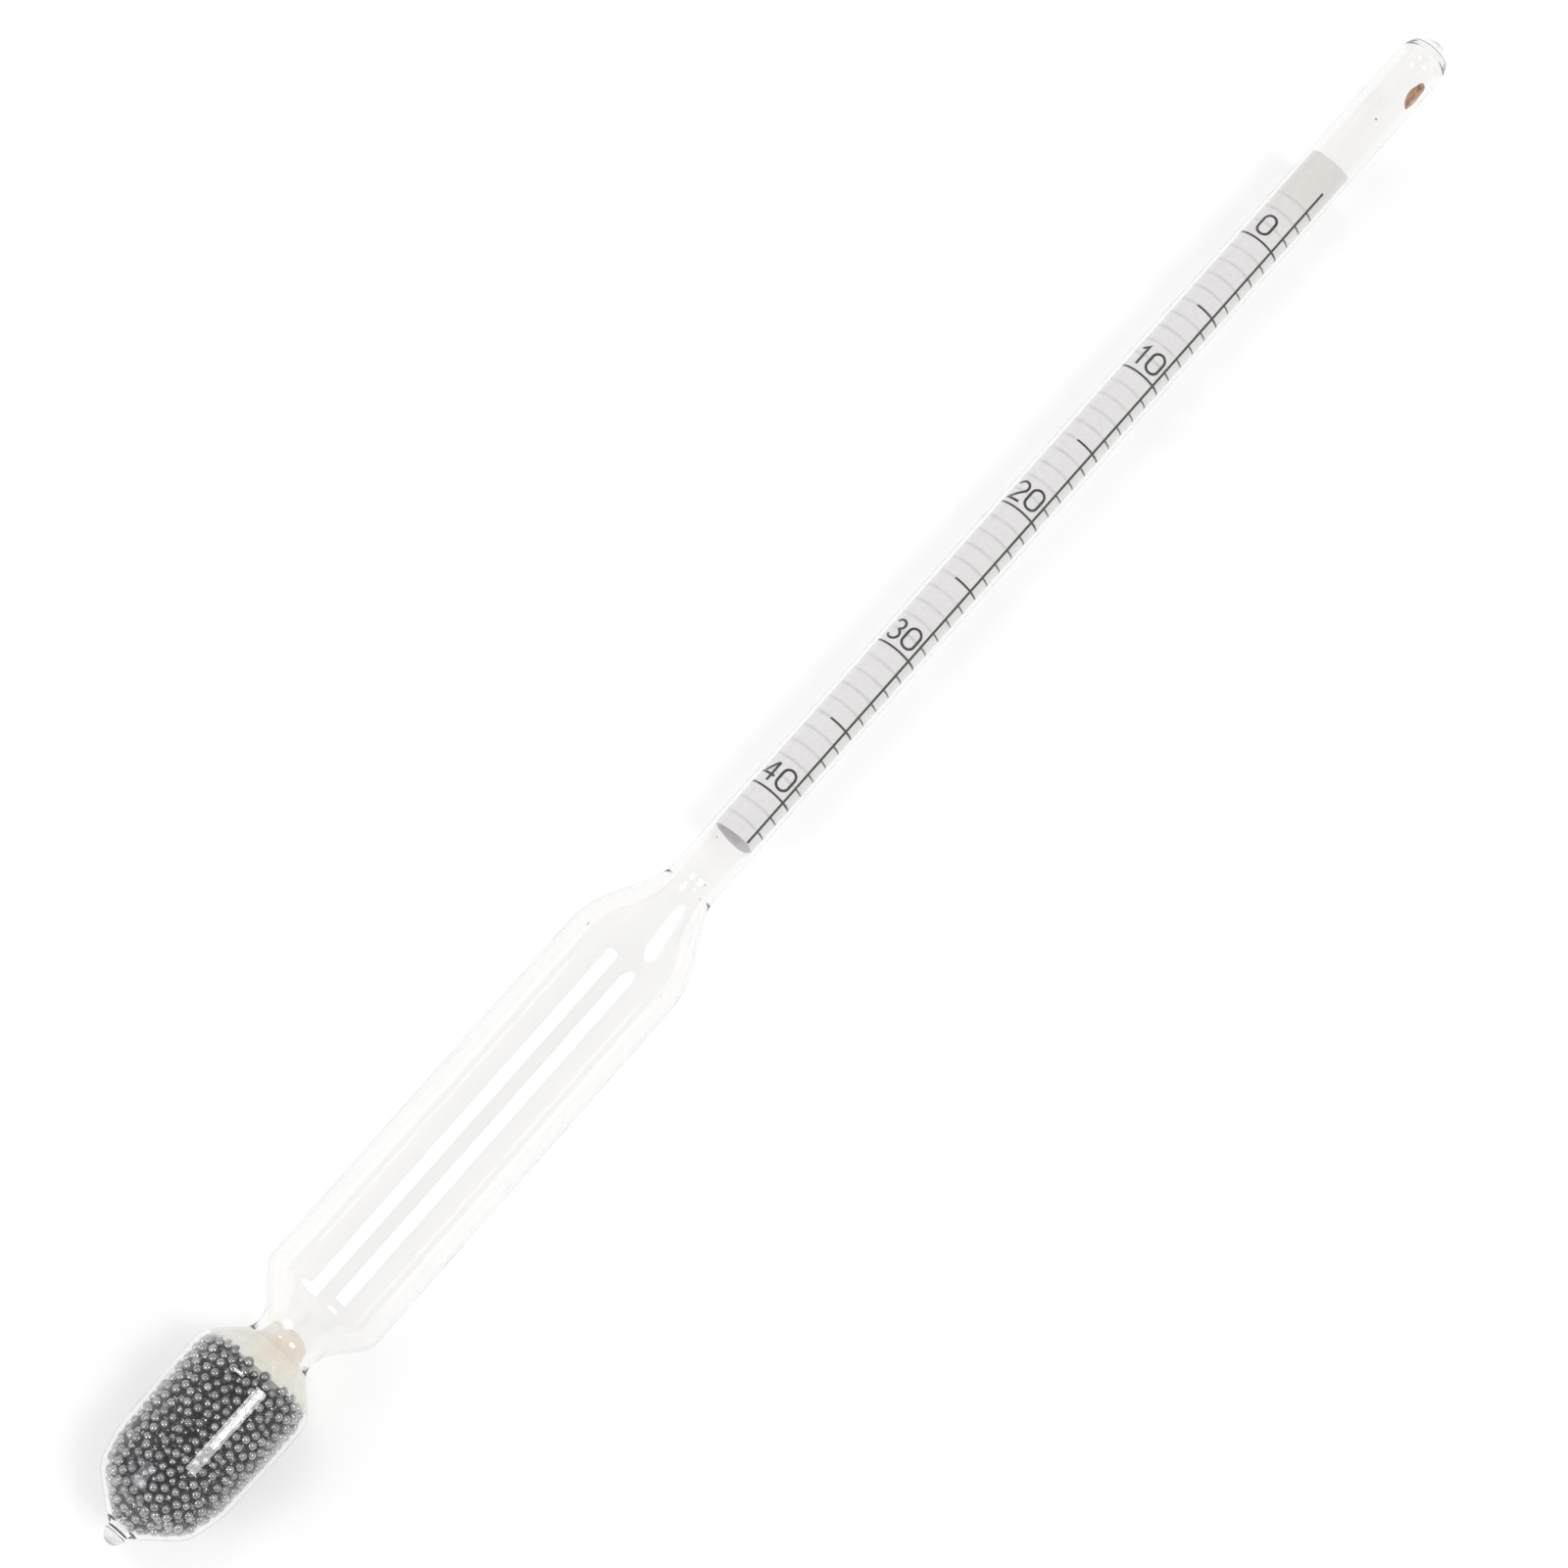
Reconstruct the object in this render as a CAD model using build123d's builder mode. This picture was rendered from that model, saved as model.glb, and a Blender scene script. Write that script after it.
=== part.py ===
from build123d import *

import math
import os

import numpy as np
from scipy.spatial import cKDTree

# A glass saccharometer lying on its bulb. +X runs along the stem, away from the bulb, and +Z is up.
# The origin is on the table below the middle of its length. The scale faces up.
# "Distance" below is measured along the axis from the bottom tip, and angles run round the axis
# from straight up (0) towards -Y (90), which is the right-hand side of someone reading the scale.

# ---- driving dimensions, mm ----
LENGTH = 300.0
STEM_R = 4.0
BODY_R = 9.75
BULB_R = 10.05
NECK_R = 4.93
GLASS_WALL = 0.5
CLEARANCE = 0.05

# distances from the tip
TIP_END = 2.3
BULB_FLOOR = 3.1
SHOT_TOP = 31.4
SEALANT_TOP = 34.7
NECK = 36.5
STEM_START = 126.0
BORE_END = 298.3

# melted ends
DOME_HEIGHT = 4.8
BORE_DOME_HEIGHT = 2.4
NUB_R = 1.66
NUB_HEIGHT = 1.9
GROOVE_R = 1.5
GROOVE_WIDTH = 0.2
TIP_BASE_R = 1.9

# wax plug
PLUG_HEIGHT = 4.8

# rolled scale paper
PAPER_R = 3.4
PAPER_THICKNESS = 0.1
PAPER_BOTTOM = 133.7
PAPER_TOP = 273.6
TURN_GAP = 0.04
SEAM_ANGLE = 180.0
TURN_ARC = 345.0

# printed scale
INK_THICKNESS = 0.04
ZERO_MARK = 255.45
UNIT_PITCH = 2.8412
FIRST_UNIT = -3
LAST_UNIT = 42
LINE_ANGLE = 34.5
LINE_WIDTH = 0.38
LINE_TOP = 267.9
TICK_WIDTH = 0.22
MARK_WIDTH = 0.32
TICK_END_ANGLE = 68.0
FIVE_END_ANGLE = -16.0

# printed numerals
DIGIT_HEIGHT = 3.8
DIGIT_WIDTH = 2.4
DIGIT_STROKE = 0.4
DIGIT_RISE = 2.7
NUMERAL_ANGLE = -19.0
DIGIT_STEP_ANGLE = 45.0

# dried glue near the top of the bore
DAB_DISTANCE = 290.0
DAB_ANGLE = 44.0
DAB_LENGTH = 5.2
DAB_WIDTH = 2.4
DAB_THICKNESS = 0.32

# steel shot
SHOT_R = 0.72
SHOT_SPACING = 1.5
SHOT_PACKING = 0.554
SHOT_BANDS = 10
SHOT_SEED = 11
SHOT_TRIES = 8
SETTLING_ROUNDS = 400
WALL_SAMPLES = 1200

STEM_BORE_R = STEM_R - GLASS_WALL
BORE_DOME_START = BORE_END - BORE_DOME_HEIGHT
INK_R = PAPER_R + INK_THICKNESS
PLUG_BOTTOM = SEALANT_TOP + CLEARANCE

# ---- shared reference geometry ----
TIP = Vector(-LENGTH / 2, 0, BULB_R)
STEM_AXIS = Axis(TIP, (1, 0, 0))
SECTION = Plane(origin=TIP, x_dir=(1, 0, 0), z_dir=(0, -1, 0))  # sketch x is distance, y is radius

# The float's outside, as corners of (distance, radius) and the radius that rounds each of them.
FLOAT_CORNERS = [
    ((TIP_END, TIP_BASE_R), None),
    ((7.3, 8.3), 5.0),
    ((12.5, 9.7), 12.0),
    ((23.0, BULB_R), 60.0),
    ((30.7, BULB_R), 5.5),
    ((35.5, NECK_R), 2.2),
    ((38.3, NECK_R), 4.6),
    ((44.0, BODY_R), 3.4),
    ((112.3, BODY_R), 16.0),
    ((123.1, STEM_R), 9.0),
    ((STEM_START, STEM_R), None),
]
FLOAT_OUTLINE = [corner for corner, _ in FLOAT_CORNERS]
FLOAT_ROUNDING = [radius for _, radius in FLOAT_CORNERS if radius]

# The wax plug's flared foot, side and top, as corners of (height above the resin, radius).
PLUG_CORNERS = [(0, 4.7), (1.3, 3.45), (4.3, 3.2), (PLUG_HEIGHT, 2.0)]
PLUG_ROUNDING = 0.7

os.makedirs("parts", exist_ok=True)


def cross_plane(distance):
    """The plane across the axis at a distance, whose polar angles are the angles round the axis."""
    return Plane(origin=TIP + Vector(distance, 0, 0), x_dir=(0, 0, 1), z_dir=(1, 0, 0))


def surface_plane(distance, angle):
    """The plane through the axis whose normal points out at an angle and whose y runs up the stem."""
    turn = math.radians(angle)
    return Plane(
        origin=TIP + Vector(distance, 0, 0),
        x_dir=(0, -math.cos(turn), -math.sin(turn)),
        z_dir=(0, -math.sin(turn), math.cos(turn)),
    )


def save(part, label):
    """Labels a finished sub-part and writes its STEP file."""
    part.label = label
    export_step(part, f"parts/{label}.step")


def polar(radius, angle):
    """A sketch point at a radius and an angle in degrees."""
    return radius * math.cos(math.radians(angle)), radius * math.sin(math.radians(angle))


def arc_band(distance, inner, outer, start, end):
    """A sketch across the axis: part of a ring, between two radii and two angles."""
    with BuildSketch(cross_plane(distance)) as band:
        with BuildLine():
            far = CenterArc((0, 0), outer, start, end - start)
            near = CenterArc((0, 0), inner, start, end - start)
            Line(far @ 0, near @ 0)
            Line(far @ 1, near @ 1)
        make_face()
    return band.sketch


# ---- glass ----
# The float, bulb and neck are one wall thickness throughout: a solid of the outside, hollowed.
with BuildPart() as float_shell:
    with BuildSketch(SECTION):
        with BuildLine():
            outside = FilletPolyline(*FLOAT_OUTLINE, radius=FLOAT_ROUNDING)
            Polyline(outside @ 0, (TIP_END, 0), (STEM_START, 0), outside @ 1)
        make_face()
    revolve(axis=STEM_AXIS)
    open_end = float_shell.faces().filter_by(GeomType.PLANE).sort_by(Axis.X)[-1]
    offset(amount=-GLASS_WALL, openings=open_end)

with BuildPart() as float_body:
    add(float_shell.part)
    split(bisect_by=cross_plane(NECK), keep=Keep.TOP)
save(float_body.part, "float_body")

with BuildPart() as ballast_bulb:
    add(float_shell.part)
    split(bisect_by=cross_plane(NECK), keep=Keep.BOTTOM)
save(ballast_bulb.part, "ballast_bulb")

# The space inside, a little clear of the glass.
with BuildPart() as float_space:
    with BuildSketch(SECTION):
        with BuildLine():
            Polyline(outside @ 0, (TIP_END, 0), (STEM_START, 0), outside @ 1)
            add(outside)
        make_face()
    revolve(axis=STEM_AXIS)
    offset(amount=-(GLASS_WALL + CLEARANCE))

# The stem's top is drawn down and melted shut, so its dome is thicker than its wall.
with BuildPart() as stem_tube:
    with BuildSketch(SECTION):
        with BuildLine():
            Line((STEM_START, 0), (STEM_START, STEM_R))
            Line((STEM_START, STEM_R), (LENGTH - DOME_HEIGHT, STEM_R))
            EllipticalCenterArc((LENGTH - DOME_HEIGHT, 0), DOME_HEIGHT, STEM_R, arc_size=90)
            Line((LENGTH, 0), (STEM_START, 0))
        make_face()
        with BuildLine():
            Line((STEM_START, 0), (STEM_START, STEM_BORE_R))
            Line((STEM_START, STEM_BORE_R), (BORE_DOME_START, STEM_BORE_R))
            EllipticalCenterArc((BORE_DOME_START, 0), BORE_DOME_HEIGHT, STEM_BORE_R, arc_size=90)
            Line((BORE_END, 0), (STEM_START, 0))
        make_face(mode=Mode.SUBTRACT)
    revolve(axis=STEM_AXIS)
save(stem_tube.part, "stem_tube")

# The nub left where the filling hole was melted shut, with a groove above its crown.
with BuildPart() as tip_seal:
    with BuildSketch(SECTION):
        with BuildLine():
            CenterArc((NUB_R, 0), NUB_R, 90, 90)
            Polyline(
                (NUB_R, NUB_R),
                (NUB_HEIGHT, NUB_R),
                (NUB_HEIGHT, GROOVE_R),
                (NUB_HEIGHT + GROOVE_WIDTH, GROOVE_R),
                (NUB_HEIGHT + GROOVE_WIDTH, NUB_R),
                (TIP_END, TIP_BASE_R),
                (TIP_END, 0),
                (0, 0),
            )
        make_face()
    revolve(axis=STEM_AXIS)
save(tip_seal.part, "tip_seal")

# ---- scale paper, rolled two turns with a joggle at the seam ----
PAPER_INSIDE_R = PAPER_R - PAPER_THICKNESS
INNER_TURN_R = PAPER_INSIDE_R - TURN_GAP
OUTER_TURN_END = SEAM_ANGLE + TURN_ARC
INNER_TURN_START = SEAM_ANGLE + 360
with BuildPart() as scale_paper:
    outer_turn = arc_band(PAPER_BOTTOM, PAPER_INSIDE_R, PAPER_R, SEAM_ANGLE, OUTER_TURN_END)
    extrude(outer_turn, amount=PAPER_TOP - PAPER_BOTTOM)
    inner_turn_inside_r = INNER_TURN_R - PAPER_THICKNESS
    inner_turn_end = INNER_TURN_START + TURN_ARC
    inner_turn = arc_band(PAPER_BOTTOM, inner_turn_inside_r, INNER_TURN_R, INNER_TURN_START, inner_turn_end)
    extrude(inner_turn, amount=PAPER_TOP - PAPER_BOTTOM)
    with BuildSketch(cross_plane(PAPER_BOTTOM)):
        Polygon(
            polar(PAPER_R, OUTER_TURN_END),
            polar(INNER_TURN_R, INNER_TURN_START),
            polar(inner_turn_inside_r, INNER_TURN_START),
            polar(PAPER_INSIDE_R, OUTER_TURN_END),
            align=None,
        )
    extrude(amount=PAPER_TOP - PAPER_BOTTOM)
save(scale_paper.part, "scale_paper")

# ---- printed scale, a thin layer of ink on the paper ----
LINE_HALF_ANGLE = math.degrees(LINE_WIDTH / 2 / PAPER_R)
TICK_START_ANGLE = LINE_ANGLE + LINE_HALF_ANGLE
LINE_LEFT_ANGLE = LINE_ANGLE - LINE_HALF_ANGLE


def mark_distance(unit):
    """How far from the tip a unit's mark is."""
    return ZERO_MARK - unit * UNIT_PITCH


def printed_arcs(units, width, spans, label):
    """Prints, at each unit, a line of a width across each span of angles."""
    with BuildPart() as printed:
        for unit in units:
            for start, end in spans:
                band = arc_band(mark_distance(unit) - width / 2, PAPER_R, INK_R, start, end)
                extrude(band, amount=width)
    save(printed.part, label)


with BuildPart() as scale_line:
    extrude(
        arc_band(PAPER_BOTTOM, PAPER_R, INK_R, LINE_LEFT_ANGLE, TICK_START_ANGLE),
        amount=LINE_TOP - PAPER_BOTTOM,
    )
save(scale_line.part, "scale_line")

all_units = range(FIRST_UNIT, LAST_UNIT + 1)
plain_units = [unit for unit in all_units if unit % 5]
five_units = [unit for unit in all_units if unit % 10 == 5]
ten_units = [unit for unit in all_units if unit % 10 == 0]
tick_span = (TICK_START_ANGLE, TICK_END_ANGLE)
five_span = (FIVE_END_ANGLE, LINE_LEFT_ANGLE)
ring_span = (TICK_START_ANGLE, LINE_LEFT_ANGLE + 360)

printed_arcs(plain_units, TICK_WIDTH, [tick_span], "unit_ticks")
printed_arcs(five_units, MARK_WIDTH, [tick_span, five_span], "five_ticks")
printed_arcs(ten_units, MARK_WIDTH, [ring_span], "ten_rings")


# ---- printed numerals ----
HALF_W = (DIGIT_WIDTH - DIGIT_STROKE) / 2
HALF_H = (DIGIT_HEIGHT - DIGIT_STROKE) / 2


def zero():
    """Draws the middle line of a 0: two straight sides and round ends."""
    side = HALF_H - HALF_W
    Line((HALF_W, -side), (HALF_W, side))
    CenterArc((0, side), HALF_W, 0, 180)
    Line((-HALF_W, side), (-HALF_W, -side))
    CenterArc((0, -side), HALF_W, 180, 180)


def one():
    """Draws the middle line of a 1: a stem with a short flag."""
    Polyline((-0.45 * HALF_W, 0.62 * HALF_H), (0.35 * HALF_W, HALF_H), (0.35 * HALF_W, -HALF_H))


def two():
    """Draws the middle line of a 2: a round head, a slope and a foot."""
    head_r = 0.95 * HALF_W
    head = CenterArc((0, HALF_H - head_r), head_r, 165, -200)
    Polyline(head @ 1, (-HALF_W, -HALF_H), (HALF_W, -HALF_H))


def three():
    """Draws the middle lines of a 3: two bowls whose strokes overlap at the waist."""
    head_r = 0.47 * HALF_H
    bowl_r = HALF_H - head_r
    CenterArc((0, HALF_H - head_r), head_r, 160, -240)
    CenterArc((0, bowl_r - HALF_H), bowl_r, 80, -240)


def four():
    """Draws the middle lines of a 4: a slope with a crossbar, and a stem whose stroke overlaps it."""
    Polyline((HALF_W, -0.35 * HALF_H), (-HALF_W, -0.35 * HALF_H), (0.35 * HALF_W, 0.95 * HALF_H))
    Line((0.45 * HALF_W, HALF_H), (0.45 * HALF_W, -HALF_H))


DIGITS = {"0": zero, "1": one, "2": two, "3": three, "4": four}


def numeral(value):
    """Prints a numeral just above its ring, each digit wrapped round the paper at its own angle."""
    text = str(value)
    height = mark_distance(value) + DIGIT_RISE
    with BuildPart() as printed:
        for index, digit in enumerate(text):
            angle = NUMERAL_ANGLE + (index - (len(text) - 1) / 2) * DIGIT_STEP_ANGLE
            with BuildSketch(surface_plane(height, angle)):
                with BuildLine():
                    DIGITS[digit]()
                trace(line_width=DIGIT_STROKE)
            extrude(amount=STEM_R)
        with BuildSketch(cross_plane(height - DIGIT_HEIGHT)):
            Circle(INK_R)
            Circle(PAPER_R, mode=Mode.SUBTRACT)
        extrude(amount=2 * DIGIT_HEIGHT, mode=Mode.INTERSECT)
    save(printed.part, f"numeral_{value}")


for value in ten_units:
    numeral(value)

# ---- dried glue on the bore ----
with BuildPart() as adhesive_dab:
    with BuildSketch(surface_plane(DAB_DISTANCE, DAB_ANGLE)):
        Ellipse(DAB_WIDTH / 2, DAB_LENGTH / 2)
    extrude(amount=STEM_R)
    with BuildSketch(cross_plane(DAB_DISTANCE - DAB_LENGTH)):
        Circle(STEM_BORE_R - CLEARANCE)
        Circle(STEM_BORE_R - CLEARANCE - DAB_THICKNESS, mode=Mode.SUBTRACT)
    extrude(amount=2 * DAB_LENGTH, mode=Mode.INTERSECT)
save(adhesive_dab.part, "adhesive_dab")


# ---- what holds the ballast in ----
# Resin poured on the shot, which fills the bulb's shoulder.
with BuildPart() as bulb_sealant:
    add(float_space.part)
    split(bisect_by=cross_plane(SHOT_TOP), keep=Keep.TOP)
    split(bisect_by=cross_plane(SEALANT_TOP), keep=Keep.BOTTOM)
save(bulb_sealant.part, "bulb_sealant")

# A lump of wax set on the resin, which stands clear of the neck's glass.
PLUG_OUTLINE = [(PLUG_BOTTOM + height, radius) for height, radius in PLUG_CORNERS]
with BuildPart() as neck_plug:
    with BuildSketch(SECTION):
        with BuildLine():
            side = FilletPolyline(*PLUG_OUTLINE, radius=PLUG_ROUNDING)
            Polyline(side @ 0, (PLUG_BOTTOM, 0), (PLUG_BOTTOM + PLUG_HEIGHT, 0), side @ 1)
        make_face()
    revolve(axis=STEM_AXIS)
save(neck_plug.part, "neck_plug")


# ---- steel shot ----
def bulb_wall():
    """Points along the glass outside the shot, and the directions that point inwards from them."""
    points, inward = [], []
    for step in np.linspace(0, 1, WALL_SAMPLES):
        point = outside.position_at(step)
        tangent = outside.tangent_at(step)
        if point.X < SHOT_TOP:
            points.append((point.X, point.Y))
            inward.append((tangent.Y, -tangent.X))
    return np.array(points), np.array(inward)


def wall_shortfall(balls, wall, inward):
    """How far each ball is into the glass, and the way back out as (distance, radius)."""
    radius = np.hypot(balls[:, 1], balls[:, 2])
    along = (balls[:, :1] - wall[:, 0]) * inward[:, 0]
    across = (radius[:, None] - wall[:, 1]) * inward[:, 1]
    depth = along + across
    nearest = depth.argmin(axis=1)
    keep_off = GLASS_WALL + CLEARANCE + SHOT_R
    return keep_off - depth.min(axis=1), inward[nearest], radius


def settled_shot(count):
    """Centres of the balls: random at first, then eased apart and off the glass until they fit."""
    wall, inward = bulb_wall()
    lowest = BULB_FLOOR + SHOT_R
    highest = SHOT_TOP - CLEARANCE - SHOT_R
    chance = np.random.default_rng(SHOT_SEED)
    balls = chance.uniform(-BULB_R, BULB_R, (SHOT_TRIES * count, 3))
    balls[:, 0] = chance.uniform(lowest, highest, len(balls))
    balls = balls[wall_shortfall(balls, wall, inward)[0] < 0][:count]
    for _ in range(SETTLING_ROUNDS):
        pairs = cKDTree(balls).query_pairs(SHOT_SPACING, output_type="ndarray")
        apart = balls[pairs[:, 1]] - balls[pairs[:, 0]]
        gap = np.linalg.norm(apart, axis=1, keepdims=True)
        push = apart / gap * (SHOT_SPACING - gap) / 2
        np.add.at(balls, pairs[:, 1], push)
        np.add.at(balls, pairs[:, 0], -push)
        short, way, radius = wall_shortfall(balls, wall, inward)
        short = np.clip(short, 0, None)
        balls[:, 0] = np.clip(balls[:, 0] + short * way[:, 0], lowest, highest)
        balls[:, 1:] *= ((radius + short * way[:, 1]) / radius)[:, None]
    closest = cKDTree(balls).query(balls, k=2)[0][:, 1].min()
    print("shot balls", len(balls), "closest centres", round(float(closest), 3), "mm apart")
    return balls[balls[:, 0].argsort()]


with BuildPart() as shot_space:
    add(float_space.part)
    split(bisect_by=cross_plane(SHOT_TOP), keep=Keep.BOTTOM)
spacing_volume = math.pi * SHOT_SPACING**3 / 6
shot_count = round(SHOT_PACKING * shot_space.part.volume / spacing_volume)

for number, band in enumerate(np.array_split(settled_shot(shot_count), SHOT_BANDS), start=1):
    with BuildPart() as shot_band:
        with Locations(*[TIP + Vector(*map(float, centre)) for centre in band]):
            Sphere(radius=SHOT_R)
    save(shot_band.part, f"shot_band_{number}")
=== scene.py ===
import math
import random

import bmesh
import bpy
from mathutils import Matrix, Vector, noise


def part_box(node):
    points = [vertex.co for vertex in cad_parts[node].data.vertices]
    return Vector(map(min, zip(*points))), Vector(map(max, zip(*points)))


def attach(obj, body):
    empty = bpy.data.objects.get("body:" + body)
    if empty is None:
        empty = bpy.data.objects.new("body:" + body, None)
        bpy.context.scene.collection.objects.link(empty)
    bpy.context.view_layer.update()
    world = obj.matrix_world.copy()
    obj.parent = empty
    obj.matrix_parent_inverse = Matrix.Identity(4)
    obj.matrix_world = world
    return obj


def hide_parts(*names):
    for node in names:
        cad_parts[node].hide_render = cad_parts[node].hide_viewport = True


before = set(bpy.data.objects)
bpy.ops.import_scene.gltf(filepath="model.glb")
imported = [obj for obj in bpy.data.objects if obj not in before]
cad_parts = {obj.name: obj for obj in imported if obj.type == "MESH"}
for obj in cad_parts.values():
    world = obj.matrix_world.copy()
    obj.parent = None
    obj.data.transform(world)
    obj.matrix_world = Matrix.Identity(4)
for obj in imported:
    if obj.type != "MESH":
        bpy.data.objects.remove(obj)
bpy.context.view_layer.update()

# The hydrometer lies along +X with its scale facing up. Distances below are millimetres along the
# axis from the bottom tip, radii are millimetres from the axis, and angles are degrees round the
# axis from straight up (0) towards -Y (90), as in the CAD model.
MM = 0.001
TIP_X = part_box("tip_seal")[0][0]
AXIS_Z = (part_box("ballast_bulb")[0][2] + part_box("ballast_bulb")[1][2]) / 2
LENGTH = (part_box("stem_tube")[1][0] - TIP_X) / MM


def extent(node):
    """The distances from the tip at which a CAD node starts and ends."""
    low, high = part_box(node)
    return (low[0] - TIP_X) / MM, (high[0] - TIP_X) / MM


def radius_of(node):
    """A round CAD node's largest radius."""
    low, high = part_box(node)
    return (high[1] - low[1]) / 2 / MM


NECK, STEM_START = extent("float_body")
TIP_END = extent("tip_seal")[1]
STEM_R = radius_of("stem_tube")
BODY_R = radius_of("float_body")
BULB_R = radius_of("ballast_bulb")
PAPER_R = radius_of("scale_paper")
INK_R = radius_of("ten_rings")
PAPER_BOTTOM, PAPER_TOP = extent("scale_paper")

NECK_R = 4.93
GLASS_WALL = 0.5
BORE_R = STEM_R - GLASS_WALL
DOME_HEIGHT, BORE_DOME_HEIGHT = 4.8, 2.4
BORE_END = LENGTH - 1.7
BULB_FLOOR = 3.1
NUB_R, NUB_END, NUB_GROOVE = 1.66, 1.95, 1.86
TIP_BASE_R = 1.9

FLOAT_CORNERS = [
    ((TIP_END, TIP_BASE_R), 0),
    ((7.3, 8.3), 5.0),
    ((12.5, 9.7), 12.0),
    ((23.0, BULB_R), 60.0),
    ((30.7, BULB_R), 5.5),
    ((35.5, NECK_R), 2.2),
    ((38.3, NECK_R), 4.6),
    ((44.0, BODY_R), 3.4),
    ((112.3, BODY_R), 16.0),
    ((123.1, STEM_R), 9.0),
    ((STEM_START, STEM_R), 0),
]


# scale
ZERO_MARK = 255.45
UNIT_PITCH = 2.8412
FIRST_UNIT, LAST_UNIT = -3, 42
LINE_ANGLE, LINE_WIDTH, LINE_TOP = 34.5, 0.38, 267.9
TICK_WIDTH, MARK_WIDTH = 0.22, 0.32
TICK_END_ANGLE, FIVE_END_ANGLE = 68.0, -16.0
PAPER_THICKNESS, TURN_GAP = 0.1, 0.04
SEAM_ANGLE, TURN_ARC = 180.0, 345.0

# the inner turn's rings, which show through up to a little above 0, and the stain at the paper's top
SHOW_THROUGH_WIDTH, SHOW_THROUGH, SHOWN_ABOVE_ZERO = 0.36, 0.95, 3.5
STAIN_START, STAIN_LENGTH, STAIN = PAPER_TOP - 11, 6, 0.28

# where the wax in the neck is most peach, and how the patch is squeezed along X, Y and Z
PEACH_CENTRE = (35.6, 4.6, 10)
PEACH_SHAPE = (0.6, 1.0, 0.7)
PEACH_EDGE, PEACH_CORE = 0.0046, 0.0016


def place(distance, radius, angle):
    """The point in the row frame at a distance, radius and angle."""
    turn = math.radians(angle)
    across = -radius * math.sin(turn) * MM
    up = radius * math.cos(turn) * MM
    return Vector((TIP_X + distance * MM, across, AXIS_Z + up))



# ---------------------------------------------------------------- materials
def new_material(name):
    """A node material, and its shader with the tree's nodes and links."""
    material = bpy.data.materials.new(name)
    material.use_nodes = True
    tree = material.node_tree
    return material, tree.nodes["Principled BSDF"], tree.nodes, tree.links


def set_inputs(shader, **values):
    """Sets a shader's sockets by name, with underscores for spaces."""
    for name, value in values.items():
        shader.inputs[name.replace("_", " ")].default_value = value


def object_coordinates(nodes):
    """The socket with a point's place in its object, in metres."""
    return nodes.new("ShaderNodeTexCoord").outputs["Object"]


def noise_texture(nodes, links, scale, detail=3.0, roughness=0.5):
    """A noise texture on object coordinates; scale is in features per metre."""
    texture = nodes.new("ShaderNodeTexNoise")
    texture.inputs["Scale"].default_value = scale
    texture.inputs["Detail"].default_value = detail
    texture.inputs["Roughness"].default_value = roughness
    links.new(object_coordinates(nodes), texture.inputs["Vector"])
    return texture.outputs["Fac"]


def colour_ramp(nodes, links, factor, *stops):
    """A colour ramp on a factor, from (position, colour) stops."""
    ramp = nodes.new("ShaderNodeValToRGB")
    elements = ramp.color_ramp.elements
    while len(elements) < len(stops):
        elements.new(0.5)
    for element, (position, colour) in zip(elements, stops):
        element.position = position
        element.color = (*colour, 1)
    links.new(factor, ramp.inputs["Fac"])
    return ramp.outputs["Color"]


def bump(nodes, links, shader, height, distance, strength=1.0):
    """Bumps a shader by a height; distance is in metres."""
    node = nodes.new("ShaderNodeBump")
    node.inputs["Distance"].default_value = distance
    node.inputs["Strength"].default_value = strength
    links.new(height, node.inputs["Height"])
    links.new(node.outputs["Normal"], shader.inputs["Normal"])


def math_node(nodes, links, operation, *values):
    """A math node on sockets or numbers."""
    node = nodes.new("ShaderNodeMath")
    node.operation = operation
    for index, value in enumerate(values):
        if isinstance(value, bpy.types.NodeSocket):
            links.new(value, node.inputs[index])
        else:
            node.inputs[index].default_value = value
    return node.outputs[0]


def glass_material():
    """Clear lamp-worked glass, a little wavy. Camera and mirror rays bend in it, and shadow and
    scattered rays go straight through, so that light isn't counted twice."""
    material, shader, nodes, links = new_material("clear_glass")
    set_inputs(shader, Base_Color=(0.975, 0.972, 0.962, 1), Roughness=0.0, IOR=1.5)
    set_inputs(shader, Transmission_Weight=1.0)
    waves = noise_texture(nodes, links, 120, 2)
    bump(nodes, links, shader, waves, 0.00006, 0.3)
    clear = nodes.new("ShaderNodeBsdfTransparent")
    clear.inputs["Color"].default_value = (0.985, 0.985, 0.985, 1)
    mix = nodes.new("ShaderNodeMixShader")
    path = nodes.new("ShaderNodeLightPath").outputs
    rough_glossy = math_node(nodes, links, "SUBTRACT", path["Is Glossy Ray"], path["Is Singular Ray"])
    scattered = math_node(nodes, links, "MAXIMUM", path["Is Diffuse Ray"], rough_glossy)
    unseen = math_node(nodes, links, "MAXIMUM", scattered, path["Is Shadow Ray"])
    links.new(unseen, mix.inputs["Fac"])
    links.new(shader.outputs[0], mix.inputs[1])
    links.new(clear.outputs[0], mix.inputs[2])
    links.new(mix.outputs[0], nodes["Material Output"].inputs["Surface"])
    return material


def joint_material():
    """The fused face between two lengths of glass, which can't be seen."""
    material = bpy.data.materials.new("fused_joint")
    material.use_nodes = True
    nodes, links = material.node_tree.nodes, material.node_tree.links
    nodes.clear()
    clear = nodes.new("ShaderNodeBsdfTransparent")
    output = nodes.new("ShaderNodeOutputMaterial")
    links.new(clear.outputs[0], output.inputs["Surface"])
    return material


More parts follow.
